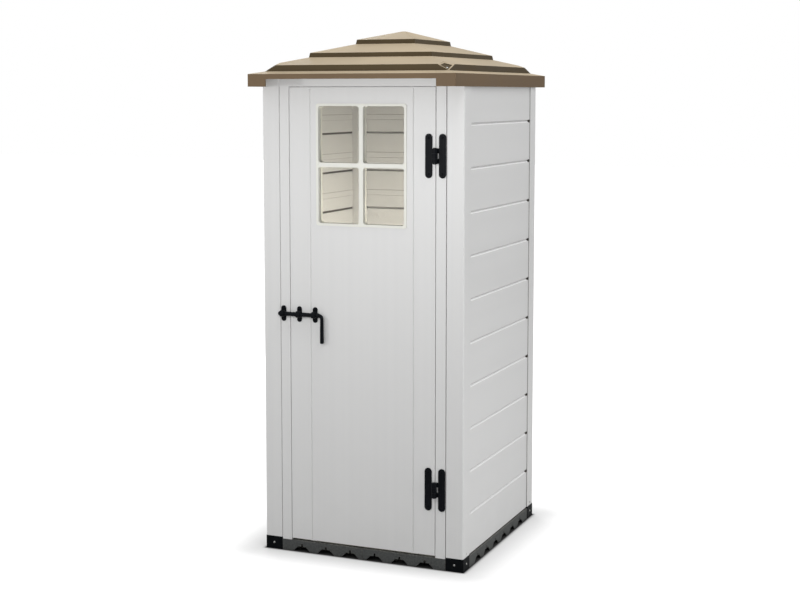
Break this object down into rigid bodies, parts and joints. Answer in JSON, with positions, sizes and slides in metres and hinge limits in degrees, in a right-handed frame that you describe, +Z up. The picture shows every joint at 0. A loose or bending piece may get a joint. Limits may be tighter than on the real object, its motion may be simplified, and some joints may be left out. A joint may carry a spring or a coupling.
{
  "type": "garden shed",
  "caption": "Tall narrow garden shed of white plastic boards with a stepped hipped roof, a glazed door on H hinges and a sliding bolt.",
  "frame": {"origin": "on the ground, under the middle of the roof", "axes": "+Z up, -Y out of the door, +X to the hinge side"},
  "size_m": [0.829, 1.056, 2.0125],
  "materials": {
    "wall_white": "satin",
    "window_cream": "satin",
    "roof_taupe": "matte",
    "floor_grey": "matte",
    "boot_black": "satin",
    "fitting_black": "satin",
    "screw_steel": "satin",
    "window_clear": "clear"
  },
  "bodies": {
    "frame": {"back_top_rail": "wall_white", "back_wall_boards": "wall_white", "bolt_keeper": "fitting_black", "bolt_keeper_screws": "fitting_black", "boot_screws": "screw_steel", "corner_boot_back_left": "boot_black", "corner_boot_back_right": "boot_black", "corner_boot_front_left": "boot_black", "corner_boot_front_right": "boot_black", "corner_post_back_left": "wall_white", "corner_post_back_right": "wall_white", "corner_post_front_left": "wall_white", "corner_post_front_right": "wall_white", "door_header": "wall_white", "floor_tile_back_left": "floor_grey", "floor_tile_back_right": "floor_grey", "floor_tile_front_left": "floor_grey", "floor_tile_front_right": "floor_grey", "hinge_frame_screws": "fitting_black", "hinge_jamb": "wall_white", "latch_jamb": "wall_white", "left_top_rail": "wall_white", "left_wall_boards": "wall_white", "lower_hinge_frame_leaf": "fitting_black", "lower_hinge_pin": "fitting_black", "post_screws": "screw_steel", "right_top_rail": "wall_white", "right_wall_boards": "wall_white", "roof_back_panel": "roof_taupe", "roof_front_panel": "roof_taupe", "roof_hip_clips": "roof_taupe", "roof_hip_screws": "screw_steel", "roof_left_panel": "roof_taupe", "roof_right_panel": "roof_taupe", "upper_hinge_frame_leaf": "fitting_black", "upper_hinge_pin": "fitting_black"},
    "door": {"bolt_guide_screws": "fitting_black", "bolt_inner_guide": "fitting_black", "bolt_outer_guide": "fitting_black", "door_bottom_cap": "wall_white", "door_centre_panel": "wall_white", "door_hinge_stile": "wall_white", "door_joint_strips": "wall_white", "door_latch_stile": "wall_white", "door_top_cap": "wall_white", "hinge_door_screws": "fitting_black", "lower_hinge_door_leaf": "fitting_black", "upper_hinge_door_leaf": "fitting_black", "window_inner_frame": "window_cream", "window_outer_frame": "window_cream", "window_pane": "window_clear"},
    "bolt": {"bolt_rod": "fitting_black"},
    "bolt_grip": {"bolt_handle": "fitting_black"}
  },
  "joints": [
    {"name": "door_swing", "type": "hinge", "parent": "frame", "child": "door", "pos_m": [0.298, -0.4315, 0.932], "axis": [0, 0, 1], "range_deg": [0, 165]},
    {"name": "bolt_slide", "type": "slide", "parent": "door", "child": "bolt", "axis": [1, 0, 0], "range_m": [0, 0.052]},
    {"name": "bolt_turn", "type": "hinge", "parent": "bolt", "child": "bolt_grip", "pos_m": [-0.18, -0.433, 0.932], "axis": [-1, 0, 0], "range_deg": [0, 150]}
  ]
}
